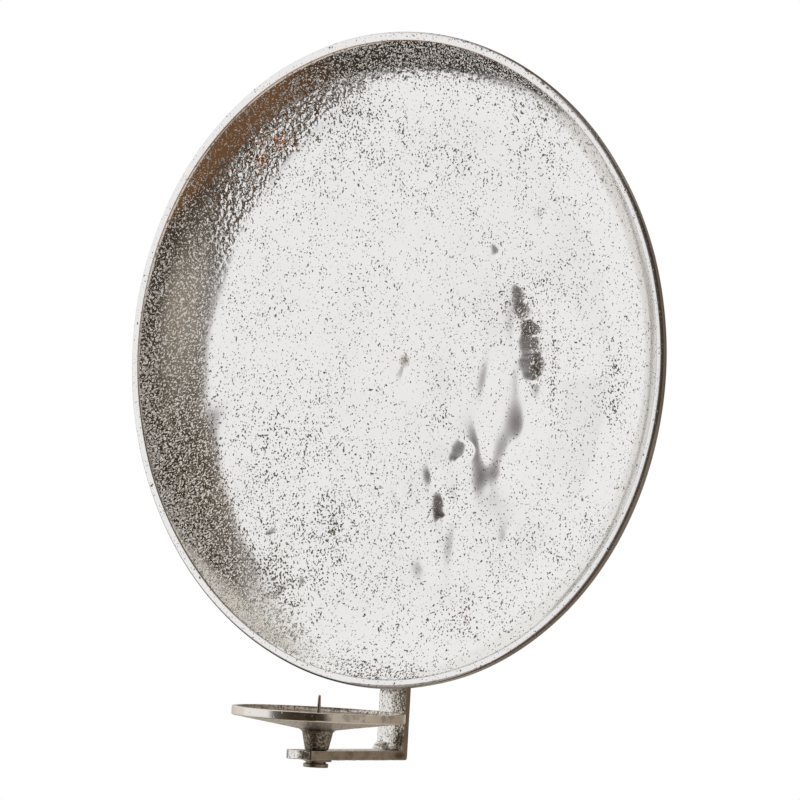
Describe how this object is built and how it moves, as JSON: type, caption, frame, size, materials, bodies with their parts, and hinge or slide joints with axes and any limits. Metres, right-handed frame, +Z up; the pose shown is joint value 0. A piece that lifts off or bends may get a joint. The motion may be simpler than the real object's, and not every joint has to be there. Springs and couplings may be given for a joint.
{
  "type": "wall candle holder",
  "caption": "Round cast metal reflector dish that hangs on a wall, with a bracket below it whose arm carries a shallow candle plate with a spike, which turns on its screw.",
  "frame": {"origin": "on the hanger strap's wall face, on the centre line just above the keyhole slot, where the wall screw carries the weight; the dish's centre is 130 mm below it", "axes": "+Z up, +Y into the wall, so the dish faces -Y and the candle plate is at -Y; +X to the right of someone who faces the wall"},
  "size_m": [0.4, 0.1325, 0.4477],
  "materials": {
    "dish_casting": "rough cast and polished over, bright, covered with small casting pits",
    "bracket_casting": "rough cast front, sides ground smooth",
    "plate_casting": "sand cast, with a polished band round its rim",
    "spike_steel": "bright drawn pin",
    "zinc_steel": "zinc plated",
    "screw_steel": "dull plated steel"
  },
  "bodies": {
    "wall_frame": {"reflector_dish": "dish_casting", "hanger_strap": "zinc_steel", "hanger_screw_lower": "screw_steel", "hanger_screw_upper": "screw_steel", "bracket": "bracket_casting", "bracket_screw_lower": "screw_steel", "bracket_screw_upper": "screw_steel"},
    "turning_plate": {"candle_plate": "plate_casting", "candle_spike": "spike_steel", "plate_washer": "zinc_steel", "plate_spring_washer": "screw_steel", "plate_screw": "zinc_steel"}
  },
  "joints": [
    {"name": "plate_turn", "type": "hinge", "parent": "wall_frame", "child": "turning_plate", "pos_m": [0, -0.08, -0.367], "axis": [0, 0, 1], "continuous": true}
  ]
}
